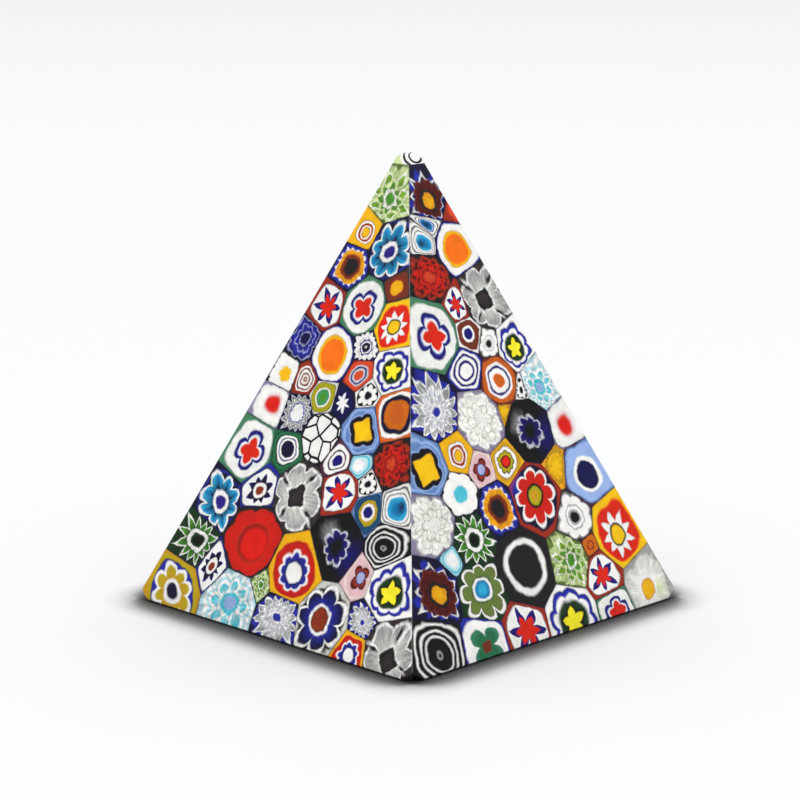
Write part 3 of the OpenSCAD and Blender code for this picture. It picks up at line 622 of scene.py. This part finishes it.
def finished(bm, name):
    """A mesh object from a bmesh, smooth over curves and sharp at edges."""
    mesh = bpy.data.meshes.new(name)
    for face in bm.faces:
        face.smooth = True
    bm.to_mesh(mesh)
    bm.free()
    mesh.set_sharp_from_angle(angle=SHARP_EDGE)
    piece = bpy.data.objects.new(name, mesh)
    bpy.context.scene.collection.objects.link(piece)
    return piece


# ---------------------------------------------------------------- shader nodes

POLISH = 0.12                    # roughness of ground and polished glass
GLASS_IOR = 1.5
EDGE_SOFT = 0.03                 # softness of a pattern's borders, as a share of the radius
LIGHT_STREAKS = 0.08             # streaks of a cane that STREAKS doesn't name
SHADE_GAIN, SHADE_POWER, SHADE_DROP = 0.97, 1.06, 0.012     # deepens the colours a little
DARKEST, PALEST = 0.001, 0.94
OUTLINE_SOCKETS = ("Far", "Angle", "Radius", "Lobes", "Depth", "Blunt", "Turn", "Soft")
PETAL_SOCKETS = ("Far", "Angle", "Ring", "Count", "Length", "Width", "Turn", "Soft")


def linear(colour):
    """Glass colour as the light sees it, from its sRGB look."""
    values = [c / 255 for c in GLASS[colour]]
    values = [v / 12.92 if v < 0.04 else ((v + 0.055) / 1.055) ** 2.4 for v in values]
    values = [min(max(SHADE_GAIN * v ** SHADE_POWER - SHADE_DROP, DARKEST), PALEST) for v in values]
    return tuple(values) + (1,)


class Tree:
    """Short hand for laying out shader nodes."""

    def __init__(self, tree):
        self.nodes, self.links = tree.nodes, tree.links

    def put(self, kind, inputs=(), **settings):
        node = self.nodes.new(kind)
        for key, value in settings.items():
            setattr(node, key, value)
        for key, value in dict(inputs).items():
            self.feed(node, key, value)
        return node

    def feed(self, node, key, value):
        if isinstance(value, bpy.types.NodeSocket):
            self.links.new(value, node.inputs[key])
        else:
            node.inputs[key].default_value = value

    def math(self, operation, a, b=None, clamp=False):
        inputs = {i: v for i, v in enumerate((a, b)) if v is not None}
        return self.put("ShaderNodeMath", inputs, operation=operation, use_clamp=clamp).outputs[0]

    def vector(self, operation, a, b=None, scale=None):
        inputs = {i: v for i, v in enumerate((a, b)) if v is not None}
        node = self.put("ShaderNodeVectorMath", inputs, operation=operation)
        if scale is not None:
            self.feed(node, "Scale", scale)
        return node.outputs["Value" if operation in ("LENGTH", "DOT_PRODUCT") else "Vector"]

    def point(self, **places):
        inputs = {"xyz".index(axis): value for axis, value in places.items()}
        return self.put("ShaderNodeCombineXYZ", inputs).outputs[0]

    def split(self, vector):
        return self.put("ShaderNodeSeparateXYZ", {0: vector}).outputs

    def mix(self, factor, a, b):
        return self.put("ShaderNodeMix", {0: factor, 6: a, 7: b}, data_type="RGBA").outputs[2]

    def noise(self, vector, scale, detail=2.0):
        return self.put("ShaderNodeTexNoise", {"Vector": vector, "Scale": scale, "Detail": detail,
                                               "Roughness": 0.5}, noise_dimensions="3D")

    def ramp(self, value, low, high, to_low=0.0, to_high=1.0):
        node = self.put("ShaderNodeMapRange", {0: value, 1: low, 2: high, 3: to_low, 4: to_high},
                        interpolation_type="SMOOTHSTEP")
        return node.outputs[0]

    def group(self, tree, values):
        return self.put("ShaderNodeGroup", dict(enumerate(values)), node_tree=tree).outputs[0]

    def half_over(self, distance, soft):
        """0 to 1 across a soft border, from how far inside it a point is."""
        inside = self.math("DIVIDE", distance, soft)
        return self.math("ADD", self.math("MULTIPLY", inside, 0.5), 0.5, clamp=True)


def new_group(name, sockets):
    """An empty node group with these number inputs: the group, its nodes and its inputs."""
    group = bpy.data.node_groups.new(name, "ShaderNodeTree")
    for socket in sockets:
        group.interface.new_socket(socket, in_out="INPUT", socket_type="NodeSocketFloat")
    group.interface.new_socket("Inside", in_out="OUTPUT", socket_type="NodeSocketFloat")
    t = Tree(group)
    given = t.put("NodeGroupInput").outputs
    return group, t, [given[i] for i in range(len(sockets))]


def outline_group():
    """Node group: 1 inside a lobed or starred outline round the middle, 0 outside."""
    group, t, given = new_group("cane outline", OUTLINE_SOCKETS)
    far, angle, radius, lobes, depth, blunt, turn, soft = given
    around = t.math("ADD", t.math("MULTIPLY", angle, lobes), turn)
    tip = t.math("MULTIPLY", t.math("PINGPONG", around, 0.5), 2.0)
    lobe = t.math("SUBTRACT", 1.0, t.math("POWER", t.math("SUBTRACT", 1.0, tip, clamp=True), blunt))
    corner = t.math("POWER", tip, t.math("ABSOLUTE", blunt))
    hollow = t.math("LESS_THAN", blunt, 0.0)
    lobe = t.math("ADD", lobe, t.math("MULTIPLY", hollow, t.math("SUBTRACT", corner, lobe)))
    low = t.math("SUBTRACT", 1.0, depth)
    border = t.math("MULTIPLY", radius, t.math("ADD", low, t.math("MULTIPLY", depth, lobe)))
    t.put("NodeGroupOutput", {0: t.half_over(t.math("SUBTRACT", border, far), soft)})
    return group


def petals_group():
    """Node group: 1 inside round petals that stand in a ring."""
    group, t, given = new_group("cane petals", PETAL_SOCKETS)
    far, angle, ring, count, length, width, turn, soft = given
    around = t.math("ADD", t.math("MULTIPLY", angle, count), turn)
    side = t.math("SUBTRACT", t.math("FRACT", around), 0.5)
    side = t.math("MULTIPLY", t.math("DIVIDE", side, count), t.math("MULTIPLY", far, 2 * math.pi))
    a = t.math("DIVIDE", t.math("SUBTRACT", far, ring), length)
    b = t.math("DIVIDE", side, width)
    size = t.math("SQRT", t.math("ADD", t.math("MULTIPLY", a, a), t.math("MULTIPLY", b, b)))
    within = t.math("MULTIPLY", t.math("SUBTRACT", 1.0, size), width)
    t.put("NodeGroupOutput", {0: t.half_over(within, soft)})
    return group


# ---------------------------------------------------------------- glass materials

def new_glass(name):
    """A polished glass material and its node tree."""
    material = bpy.data.materials.new(name)
    material.use_nodes = True
    shader = material.node_tree.nodes["Principled BSDF"]
    shader.inputs["Roughness"].default_value = POLISH
    shader.inputs["IOR"].default_value = GLASS_IOR
    return material, material.node_tree


class CaneTree(Tree):
    """Shader nodes that know where a point lies in the cross section of its cane."""

    def __init__(self, tree, share):
        super().__init__(tree)
        self.share = share
        place = self.put("ShaderNodeAttribute", attribute_name="cane").outputs["Vector"]
        own = self.put("ShaderNodeAttribute", attribute_name="slice").outputs["Vector"]
        across, up, self.border = self.split(place)
        self.seed, self.tint, self.ridge = self.split(own)
        self.flat = self.point(x=across, y=up, z=self.math("MULTIPLY", self.seed, 37.0))
        # glass that was pulled and pressed never keeps a true shape: one long bend and one short one
        long_bend = self.vector("SCALE", self.push(1.6), scale=0.20 + 0.12 * share)
        short_bend = self.vector("SCALE", self.push(5.0), scale=0.06 + 0.12 * share)
        bent = self.vector("ADD", self.flat, self.vector("ADD", long_bend, short_bend))
        self.x, self.y, _ = self.split(bent)
        x_square, y_square = self.math("MULTIPLY", self.x, self.x), self.math("MULTIPLY", self.y, self.y)
        self.far = self.math("SQRT", self.math("ADD", x_square, y_square))
        turns = self.math("DIVIDE", self.math("ARCTAN2", self.y, self.x), 2 * math.pi)
        self.angle = self.math("ADD", turns, 2.0)      # in turns, and never below zero

    def push(self, scale):
        """A shift this way or that, from a noise of this scale."""
        return self.vector("SUBTRACT", self.noise(self.flat, scale, 1.0).outputs["Color"], (0.5, 0.5, 0.5))


# Each kind of layer gives its mask, its paint, and the radii between which a pair of colours blends.

def disc_layer(t, outline, paint, radius, lobes=1, depth=0, blunt=1, turn=0):
    mask = t.group(outline, (t.far, t.angle, radius, float(lobes), depth, float(blunt), turn, EDGE_SOFT))
    return mask, paint, (0.3 * radius, radius)


def petal_layer(t, petals, paint, ring, count, length, width, turn):
    mask = t.group(petals, (t.far, t.angle, ring, float(count), length, width, turn, EDGE_SOFT))
    return mask, paint, (ring - length, ring + length)


def spot_layer(t, paint, x, y, radius, soft):
    away = t.vector("LENGTH", t.point(x=t.math("SUBTRACT", t.x, x), y=t.math("SUBTRACT", t.y, y)))
    return t.ramp(away, radius + soft, radius - soft), paint, None


def pebble_layer(t, paint, radius, size):
    cells = t.put("ShaderNodeTexVoronoi", {"Vector": t.flat, "Scale": size, "Randomness": 0.7},
                  feature="DISTANCE_TO_EDGE", voronoi_dimensions="2D").outputs[0]
    mask = t.math("MULTIPLY", t.ramp(cells, 0.05, 0.10), t.ramp(t.far, radius, radius - 0.05))
    return mask, paint, None


def layered(t, layer, outline, petals):
    """Mask, paint and blending radii of one layer of CANES."""
    kind = layer[0]
    if kind == "petals":
        return petal_layer(t, petals, *layer[1:])
    if kind == "spot":
        return spot_layer(t, *layer[1:])
    if kind == "pebbles":
        return pebble_layer(t, *layer[1:])
    return disc_layer(t, outline, *layer)


def glass_tone(t):
    """Brightness: streaks that run out from the middle, mottling, a darker rim and each slice's own tint."""
    spokes = t.vector("NORMALIZE", t.point(x=t.x, y=t.y))
    depth = t.math("ADD", t.math("MULTIPLY", t.far, 2.5), t.math("MULTIPLY", t.seed, 53.0))
    rays = t.vector("ADD", t.vector("SCALE", spokes, scale=7.0), t.point(z=depth))
    streak = t.ramp(t.noise(rays, 1.3).outputs[0], 0.3, 0.7, 1.0 - 0.6 * t.share, 1.0 + 0.25 * t.share)
    mottle = t.ramp(t.noise(t.flat, 2.4, 3.0).outputs[0], 0.3, 0.7, 0.91, 1.03)
    rim = t.ramp(t.border, 0.0, 0.55, 0.84, 1.0)
    tint = t.ramp(t.tint, 0.0, 1.0, 0.95, 1.03)
    return t.math("MULTIPLY", t.math("MULTIPLY", streak, mottle), t.math("MULTIPLY", rim, tint))


def joint_line(t):
    """Mask of the thin dark line where slices have melted together, stronger here and fainter there."""
    strength = t.ramp(t.noise(t.flat, 2.0).outputs[0], 0.4, 0.6, 0.25, 0.85)
    return t.math("MULTIPLY", t.ramp(t.border, 0.16, 0.05), strength)


def cane_material(cane, outline, petals):
    """Polished glass that shows the cane's own pattern."""
    ground, layers = CANES[cane]
    material, tree = new_glass(cane)
    t = CaneTree(tree, STREAKS.get(cane, LIGHT_STREAKS))
    colour = linear(ground)
    for layer in layers:
        mask, paint, blend = layered(t, layer, outline, petals)
        if isinstance(paint, tuple):
            paint = t.mix(t.ramp(t.far, *blend), linear(paint[0]), linear(paint[1]))
        else:
            paint = linear(paint)
        colour = t.mix(mask, colour, paint)
    colour = t.vector("SCALE", colour, scale=glass_tone(t))
    colour = t.mix(joint_line(t), colour, linear("night"))
    # a thin pale line along the ridges: a painted highlight
    colour = t.mix(t.ramp(t.ridge, 0.14, 0.04, 0.0, 0.16), colour, linear("silver"))
    t.feed(t.nodes["Principled BSDF"], "Base Color", colour)
    material.diffuse_color = linear(ground)
    return material


def core_material():
    """Dark glass of the body, with a little drift in its tone."""
    material, tree = new_glass("core glass")
    t = Tree(tree)
    where = t.put("ShaderNodeTexCoord").outputs["Object"]
    drift = t.ramp(t.noise(where, 60.0, 3.0).outputs[0], 0.35, 0.65)
    t.feed(t.nodes["Principled BSDF"], "Base Color", t.mix(drift, linear("night"), linear("slate")))
    return material


def swirl_cap_material():
    """White glass with thin black rings: the slice at the tip."""
    ring_radii, line_edge, line_heart = (1.25, 2.05), 0.24, 0.12
    pale_from, pale_to = 2.5, 2.8
    # the cane of this slice leans toward the front ridge
    cane_way = Vector((0.66, -0.66, 0.36)).normalized()
    low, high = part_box("tip_swirl_cap")
    middle = ((low.x + high.x) / 2 + 1.2 * MM, (low.y + high.y) / 2 + 0.2 * MM, high.z - 0.7 * MM)
    material, tree = new_glass("tip swirl")
    t = Tree(tree)
    where = t.put("ShaderNodeTexCoord").outputs["Object"]
    offset = t.vector("SUBTRACT", where, middle)
    along = t.vector("DOT_PRODUCT", offset, tuple(cane_way))
    flat = t.vector("SUBTRACT", offset, t.vector("SCALE", tuple(cane_way), scale=along))
    wave = t.math("MULTIPLY", t.noise(flat, 220.0, 1.0).outputs[0], 0.5 * MM)
    far = t.math("ADD", t.vector("LENGTH", flat), wave)
    colour = t.mix(t.noise(where, 400.0).outputs[0], linear("opal"), linear("white"))
    for radius in ring_radii:
        line = t.math("ABSOLUTE", t.math("SUBTRACT", far, radius * MM))
        colour = t.mix(t.ramp(line, line_edge * MM, line_heart * MM), colour, linear("black"))
    colour = t.mix(t.ramp(far, pale_from * MM, pale_to * MM), colour, linear("pale_green"))
    t.feed(t.nodes["Principled BSDF"], "Base Color", colour)
    return material


# ---------------------------------------------------------------- the paperweight

def build_slices():
    """One finely divided piece of patterned glass for each cane."""
    slices = read_slices()
    outline, petals = outline_group(), petals_group()
    for cane in sorted(slices):
        piece = slices_piece(cane, slices[cane])
        piece.data.materials.append(cane_material(cane, outline, petals))
        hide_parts(cane + SLICES)
        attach(piece, "root")


def dress(node, material):
    """Gives a CAD node that stays in view its finished material."""
    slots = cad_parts[node].data.materials
    slots.clear()
    slots.append(material)


# ---------------------------------------------------------------- floor, light and camera

def floor_material():
    """Pale floor with a painted contact shadow: its colour darkens only where the object is close over it."""
    shade_reach, shade_power, shade_gain = 8 * MM, 15.0, 1.9
    shaded, pale = (0.04, 0.04, 0.042, 1), (0.665, 0.67, 0.675, 1)
    material = bpy.data.materials.new("pale floor")
    material.use_nodes = True
    t = Tree(material.node_tree)
    shader = t.nodes["Principled BSDF"]
    open_air = t.put("ShaderNodeAmbientOcclusion", {"Distance": shade_reach}, samples=16).outputs["AO"]
    # painted contact shadow: the floor's colour goes dark where little open air is near
    clear = t.math("MULTIPLY", t.math("POWER", open_air, shade_power), shade_gain, clamp=True)
    t.feed(shader, "Base Color", t.mix(clear, shaded, pale))
    shader.inputs["Specular IOR Level"].default_value = 0.2
    shader.inputs["Roughness"].default_value = 0.6
    return material


def floor():
    """A wide floor, a hair under the object so that the two never share a plane."""
    half_width, gap_under = 30.0, 0.1 * MM
    bm = bmesh.new()
    bmesh.ops.create_grid(bm, x_segments=8, y_segments=8, size=half_width)
    mesh = bpy.data.meshes.new("floor")
    bm.to_mesh(mesh)
    bm.free()
    mesh.materials.append(floor_material())
    plane = bpy.data.objects.new("floor", mesh)
    plane.location.z = CAD_BOX[0][2] - gap_under
    bpy.context.scene.collection.objects.link(plane)


def lights():
    """White surroundings and one wide soft box overhead."""
    sky_strength = 0.31
    box_width, box_watts, box_height = 10.0, 364.0, 2.5
    world = bpy.data.worlds.new("studio")
    world.use_nodes = True
    sky = world.node_tree.nodes["Background"]
    sky.inputs["Color"].default_value = (1, 1, 1, 1)
    sky.inputs["Strength"].default_value = sky_strength
    bpy.context.scene.world = world
    box = bpy.data.lights.new("soft box", "AREA")
    box.shape, box.size, box.energy = "DISK", box_width, box_watts
    lamp = bpy.data.objects.new("soft box", box)
    lamp.location = (0, 0, box_height)
    bpy.context.scene.collection.objects.link(lamp)


def camera():
    """Looks along the front ridge from a little above."""
    azimuth, elevation = math.radians(44.43), math.radians(12.0)
    distance, aim_height, aim_left = 399.74 * MM, 34.12 * MM, 1.41 * MM
    lens, sensor_width = 108, 36
    away = Vector((math.sin(azimuth) * math.cos(elevation), -math.cos(azimuth) * math.cos(elevation),
                   math.sin(elevation)))
    right = Vector((math.cos(azimuth), math.sin(azimuth), 0))
    target = Vector((0, 0, aim_height)) - right * aim_left
    data = bpy.data.cameras.new("camera")
    data.lens, data.sensor_width = lens, sensor_width
    data.clip_start = 0.01
    seat = bpy.data.objects.new("camera", data)
    seat.location = target + away * distance
    seat.rotation_euler = (-away).to_track_quat("-Z", "Y").to_euler()
    bpy.context.scene.collection.objects.link(seat)
    bpy.context.scene.camera = seat


build_slices()
dress("glass_core", core_material())
dress("tip_swirl_cap", swirl_cap_material())
floor()
lights()
camera()
bpy.context.scene.view_settings.view_transform = "Standard"
